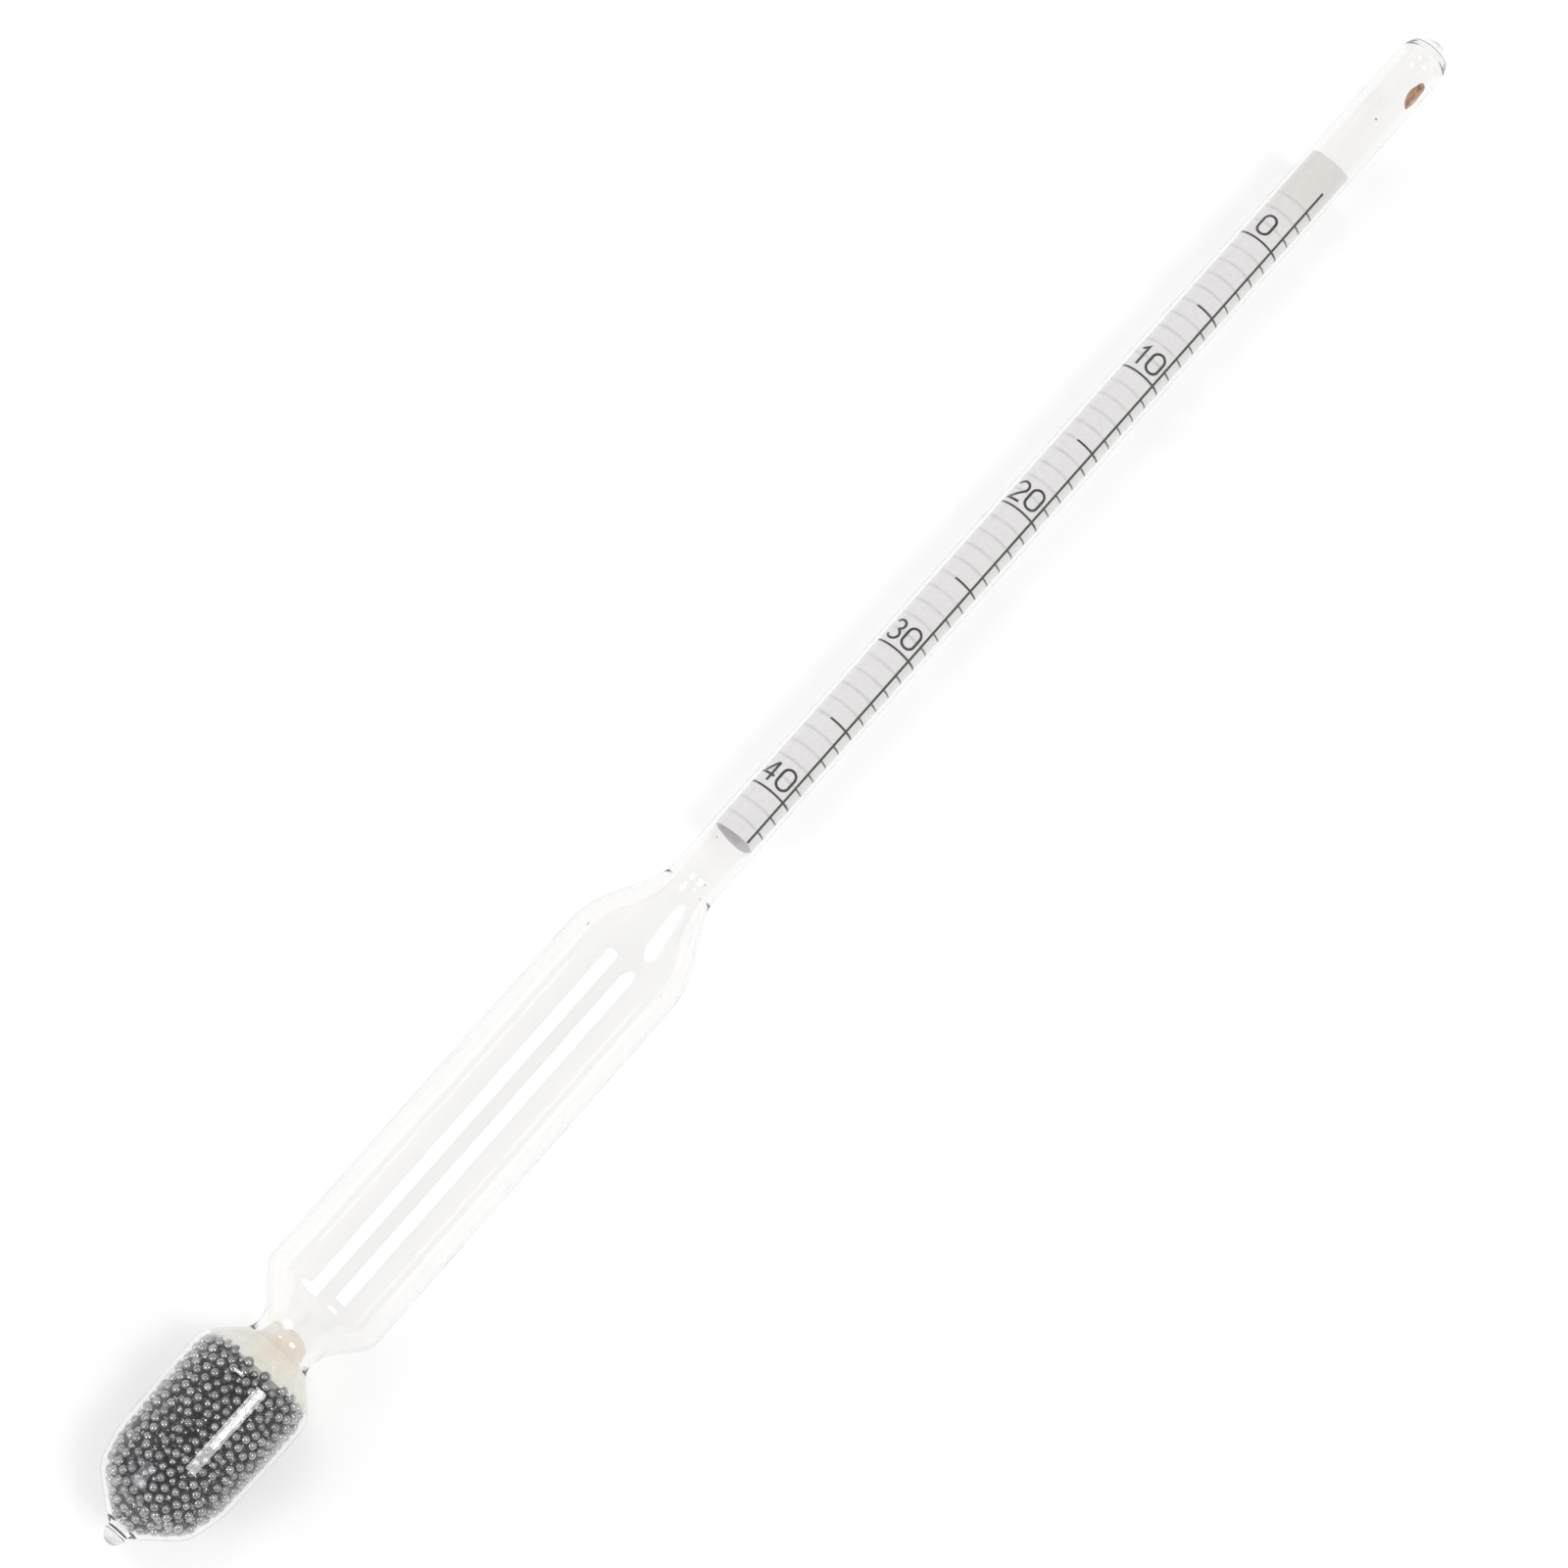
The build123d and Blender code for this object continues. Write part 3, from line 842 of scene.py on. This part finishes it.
def shot_edge(angle, wall):
    """How far up the balls against the glass reach at an angle round the bulb."""
    reach = extent("bulb_sealant")[0] - EDGE_SAG
    for distance, ball_angle, radius in EDGE_BALLS:
        off = math.radians((angle - ball_angle + 180) % 360 - 180) * wall
        if abs(off) < radius:
            reach = max(reach, distance + math.sqrt(radius**2 - off**2))
    return reach


def lumpy(vertices, amount, edge):
    """Unevenness along the axis, which dies away towards an edge radius."""
    for vertex in vertices:
        radial = math.hypot(vertex.y, vertex.z - AXIS_Z) / MM
        inside = 1 - min(radial / edge, 1) ** 4
        lump = noise.noise(vertex * 420) + 0.5 * noise.noise(vertex * 1100)
        vertex.x += lump * amount * inside * MM


SEALANT_SEGMENTS = 288


def make_sealant():
    """The resin poured over the shot: it wets the glass and runs down between the outer balls."""
    shot_top, top = extent("bulb_sealant")
    wall = [Vector((p.x, p.y + WETTING)) for p in part_of(FLOAT_INSIDE, shot_top + 0.05, top)]
    edge = wall[0].y
    underside = [Vector((shot_top - 1.6, (edge - 1.0) * k / 20)) for k in range(21)]
    underside.append(Vector((shot_top - 0.7, edge - 0.8)))
    underside.append(Vector((shot_top - 0.15, edge - 0.45)))
    rim = wall[-1].y
    upper = [Vector((top + 0.15 * (1 - k / 12), rim * k / 12)) for k in range(12)]
    profile = underside + wall + list(reversed(upper))
    segments = SEALANT_SEGMENTS
    vertices, faces, _ = lathe([tuple(p) for p in profile], segments)
    lumpy(vertices, 0.1, edge - 1.2)
    drops = [shot_edge(360 * part / segments, edge) - shot_top for part in range(segments)]
    rows = range(len(underside) - 3, len(underside) + 1)
    for row, share in zip(rows, (0.3, 0.6, 0.9, 1.0)):
        for part in range(segments):
            point = vertices[1 + (row - 1) * segments + part]
            depth = drops[part] * share
            point.x += depth * MM
            if row == rows[-1]:
                reach = radius_at(FLOAT_INSIDE, shot_top + depth) + WETTING
                point.xyz = place((point.x - TIP_X) / MM, reach, 360 * part / segments)
    finish_piece("bulb_sealant", vertices, faces, [RESIN], ["bulb_sealant"])


PLUG_HEIGHT, UNEVEN_FROM = 4.1, 2.4
PLUG_CORNERS = [
    ((0, 4.5), 0),
    ((1.2, 3.6), 1.6),
    ((3.5, 3.05), 0.8),
    ((3.9, 1.8), 0.3),
    ((PLUG_HEIGHT, 0), 0),
]


def make_plug():
    """The lump of wax in the neck, with an uneven top."""
    start = extent("neck_plug")[0] - 0.3
    side = resampled(rounded(PLUG_CORNERS, 10), 0.12)
    profile = [Vector((start, 0))] + [Vector((start + p.x, p.y)) for p in side]
    profile[-1].y = 0

    def ragged(distance, radius, angle):
        around = Vector((math.cos(math.radians(angle)), math.sin(math.radians(angle)), distance * 0.35))
        return min(radius * 0.3, 1) * 0.22 * noise.noise(around * 1.7)

    vertices, faces, _ = lathe([tuple(p) for p in profile], 120, ragged)
    for vertex in vertices:
        height = (vertex.x - TIP_X) / MM - start
        if height > UNEVEN_FROM:
            top_share = (height - UNEVEN_FROM) / (PLUG_HEIGHT - UNEVEN_FROM)
            vertex.x += 0.6 * top_share * noise.noise(vertex * 500) * MM
    finish_piece("neck_plug", vertices, faces, [RESIN], ["neck_plug"])


DAB_ANGLE, DAB_HALF_ANGLE = 44.0, 19.5
DAB_FILL = 0.93  # how much of its CAD solid's outline the dab takes up


def make_dab():
    """A run of dried glue on the bore near the stem's top."""
    start, end = extent("adhesive_dab")
    middle, half_length = (start + end) / 2, (end - start) / 2
    rings, parts = 14, 48
    vertices = []
    for face in (0, 1):
        for ring in range(1, rings + 1):
            share = ring / rings
            for part in range(parts):
                turn = 2 * math.pi * part / parts
                ragged = 1 + 0.22 * noise.noise(Vector((math.cos(turn) * 1.4, math.sin(turn) * 1.4, 7.0)))
                reach = DAB_FILL * share * ragged
                distance = middle + half_length * reach * math.cos(turn)
                angle = DAB_ANGLE + DAB_HALF_ANGLE * reach * math.sin(turn)
                lump = noise.noise(Vector((distance * 1.3, angle * 0.08, 1.0)))
                hump = (1 - share**3) * (0.26 + 0.16 * lump)
                radius = BORE_R - 0.01 - (hump if face else 0)
                vertices.append(place(distance, radius, angle))
    layer = rings * parts
    outer_pole = len(vertices)
    vertices.append(place(middle, BORE_R - 0.01, DAB_ANGLE))
    vertices.append(place(middle, BORE_R - 0.3, DAB_ANGLE))
    faces = []
    for face in (0, 1):
        pole = outer_pole + face
        for part in range(parts):
            following = (part + 1) % parts
            faces.append((pole, face * layer + part, face * layer + following))
            for ring in range(rings - 1):
                one = face * layer + ring * parts
                two = one + parts
                faces.append((one + part, one + following, two + following, two + part))
    rim = (rings - 1) * parts
    for part in range(parts):
        following = (part + 1) % parts
        faces.append((rim + part, rim + following, layer + rim + following, layer + rim + part))
    finish_piece("adhesive_dab", vertices, faces, [GLUE], ["adhesive_dab"])


SPECK_SEED, SPECK_COUNT = 5, 90
STEM_SPECKS = [(131.5, -30), (125.0, 25), (123.0, 40)]


def make_specks():
    """Specks of dust on the inside of the glass, each as (distance, radius, angle, size)."""
    chance = random.Random(SPECK_SEED)
    places = [(282.6, BORE_R - 0.05, 9.0, 0.14)]
    for _ in range(SPECK_COUNT):
        distance = chance.uniform(46, 122)
        wall = radius_at(FLOAT_INSIDE, distance)
        places.append((distance, wall - 0.03, chance.uniform(-170, 170), chance.uniform(0.02, 0.055)))
    for distance, angle in STEM_SPECKS:
        places.append((distance, BORE_R - 0.05, angle, 0.09))
    vertices, faces = [], []
    for distance, radius, angle, size in places:
        speck = bmesh.new()
        bmesh.ops.create_icosphere(speck, subdivisions=2, radius=size * MM)
        centre = place(distance, radius, angle)
        start = len(vertices)
        speck.verts.ensure_lookup_table()
        for vertex in speck.verts:
            point = vertex.co * (1 + 0.5 * noise.noise(vertex.co * 9000 + centre * 100))
            point.x *= 1.2 + 6 * (size * 100 % 1) ** 4
            vertices.append(centre + point)
        faces += [[start + v.index for v in f.verts] for f in speck.faces]
        speck.free()
    finish_piece("dust_specks", vertices, faces, [DUST])


# ---------------------------------------------------------------- studio
FLOOR_HALF = 3.0


def make_floor():
    """A plain pale floor."""
    mesh = bpy.data.meshes.new("floor")
    half = FLOOR_HALF
    corners = [(-half, -half, 0), (half, -half, 0), (half, half, 0), (-half, half, 0)]
    mesh.from_pydata(corners, [], [(0, 1, 2, 3)])
    mesh.materials.append(floor_material())
    floor = bpy.data.objects.new("floor", mesh)
    bpy.context.scene.collection.objects.link(floor)


ROOM_TONES = [(0.0, 0.55), (0.2, 0.88), (0.72, 0.72), (0.93, 0.55)]
ROOM_STRENGTH = 0.84


def make_world():
    """A soft white room, darker towards the horizon so that the glass has edges."""
    world = bpy.data.worlds.new("studio")
    bpy.context.scene.world = world
    world.use_nodes = True
    nodes, links = world.node_tree.nodes, world.node_tree.links
    nodes.clear()
    coordinates = nodes.new("ShaderNodeTexCoord")
    split = nodes.new("ShaderNodeSeparateXYZ")
    links.new(coordinates.outputs["Generated"], split.inputs[0])
    stops = [(height, (grey, grey, grey)) for height, grey in ROOM_TONES]
    tone = colour_ramp(nodes, links, split.outputs["Z"], *stops)
    background = nodes.new("ShaderNodeBackground")
    output = nodes.new("ShaderNodeOutputWorld")
    links.new(tone, background.inputs["Color"])
    background.inputs["Strength"].default_value = ROOM_STRENGTH
    links.new(background.outputs[0], output.inputs["Surface"])


def soft_box(name, middle, size, power, target):
    """A rectangular soft light that faces a point. size is (along X, across)."""
    data = bpy.data.lights.new(name, "AREA")
    data.shape = "RECTANGLE"
    data.size, data.size_y = size
    data.energy = power
    light = bpy.data.objects.new(name, data)
    back = (middle - target).normalized()
    along = (Vector((1, 0, 0)) - back * back.x).normalized()
    across = back.cross(along)
    light.matrix_world = Matrix.Translation(middle) @ Matrix((along, across, back)).transposed().to_4x4()
    bpy.context.scene.collection.objects.link(light)
    return light


CAMERA_DISTANCE = 0.740
CAMERA_LEAN = math.radians(14.6)
STEM_SLOPE = math.radians(48.41)
FOCAL_PIXELS = 5196.5
IMAGE_PIXELS = 1600
AIM_ALONG = -0.0052
AIM_ACROSS = 0.00033


def make_camera():
    """Looks down on the scale from the bulb's end, with the stem running up to the right."""
    data = bpy.data.cameras.new("camera")
    data.sensor_width = 36.0
    data.lens = FOCAL_PIXELS / IMAGE_PIXELS * data.sensor_width
    data.clip_end = 20
    camera = bpy.data.objects.new("camera", data)
    middle = place(LENGTH / 2, 0, 0)
    lean = Vector((-math.sin(CAMERA_LEAN), 0, math.cos(CAMERA_LEAN)))
    location = middle + CAMERA_DISTANCE * lean
    aim = middle + Vector((AIM_ALONG, -AIM_ACROSS, 0))
    back = (location - aim).normalized()
    up_stem = (Vector((1, 0, 0)) - back * back.x).normalized()
    across = up_stem.cross(back)
    right = up_stem * math.cos(STEM_SLOPE) + across * math.sin(STEM_SLOPE)
    up = up_stem * math.sin(STEM_SLOPE) - across * math.cos(STEM_SLOPE)
    camera.matrix_world = Matrix.Translation(location) @ Matrix((right, up, back)).transposed().to_4x4()
    bpy.context.scene.collection.objects.link(camera)
    bpy.context.scene.camera = camera


BOX_HEIGHT, BOX_SIDE = 1.5, 0.67
CORE_HEIGHT = BOX_HEIGHT - 0.01

# name, place from the middle of the hydrometer, (size along X, size across), power
SOFT_BOXES = [
    ("right_box", (0.065, -BOX_SIDE, BOX_HEIGHT), (0.45, 0.60), 4.4),
    ("right_core", (0.09, -BOX_SIDE, CORE_HEIGHT), (0.40, 0.30), 2.2),
    ("left_box", (0.20, BOX_SIDE, BOX_HEIGHT), (0.19, 0.55), 1.75),
    ("left_core", (0.20, BOX_SIDE, CORE_HEIGHT), (0.19, 0.28), 0.9),
]

# a window beyond the bulb, as nested discs of (width, power) that give it soft edges
WINDOW_PLACE = (-1.1, 0.75, 1.0)
WINDOW_DISCS = [(0.95, 3.4), (0.7, 1.9), (0.45, 0.8)]
WINDOW_COLOUR = (0.94, 0.91, 1.0)


def make_lights():
    """A long soft box on each side of the camera, each with a brighter core, and a window."""
    centre = place(LENGTH / 2, 0, 0)
    for name, middle, size, power in SOFT_BOXES:
        soft_box(name, centre + Vector(middle), size, power, centre)
    for number, (width, power) in enumerate(WINDOW_DISCS, start=1):
        middle = Vector(WINDOW_PLACE) * (1 - 0.01 * number)
        disc = soft_box(f"window_{number}", centre + middle, (width, width), power, centre)
        disc.data.shape = "DISK"
        disc.data.color = WINDOW_COLOUR


GLASS, JOINT, SHOT = glass_material(), joint_material(), shot_material()
PAPER, INK, RESIN = paper_material(), ink_material(), resin_material()
GLUE, DUST = glue_material(), dust_material()

make_tip()
make_bulb()
make_body()
make_stem()
make_paper()
make_print()
make_shot()
make_sealant()
make_plug()
make_dab()
make_specks()
make_floor()
make_world()
make_lights()
make_camera()

LIGHT_BOUNCES = 24  # enough for light to cross every wall of the glass
bpy.context.scene.view_settings.view_transform = "Standard"
bpy.context.scene.cycles.max_bounces = LIGHT_BOUNCES
bpy.context.scene.cycles.transmission_bounces = LIGHT_BOUNCES
bpy.context.scene.cycles.transparent_max_bounces = LIGHT_BOUNCES
bpy.context.view_layer.update()
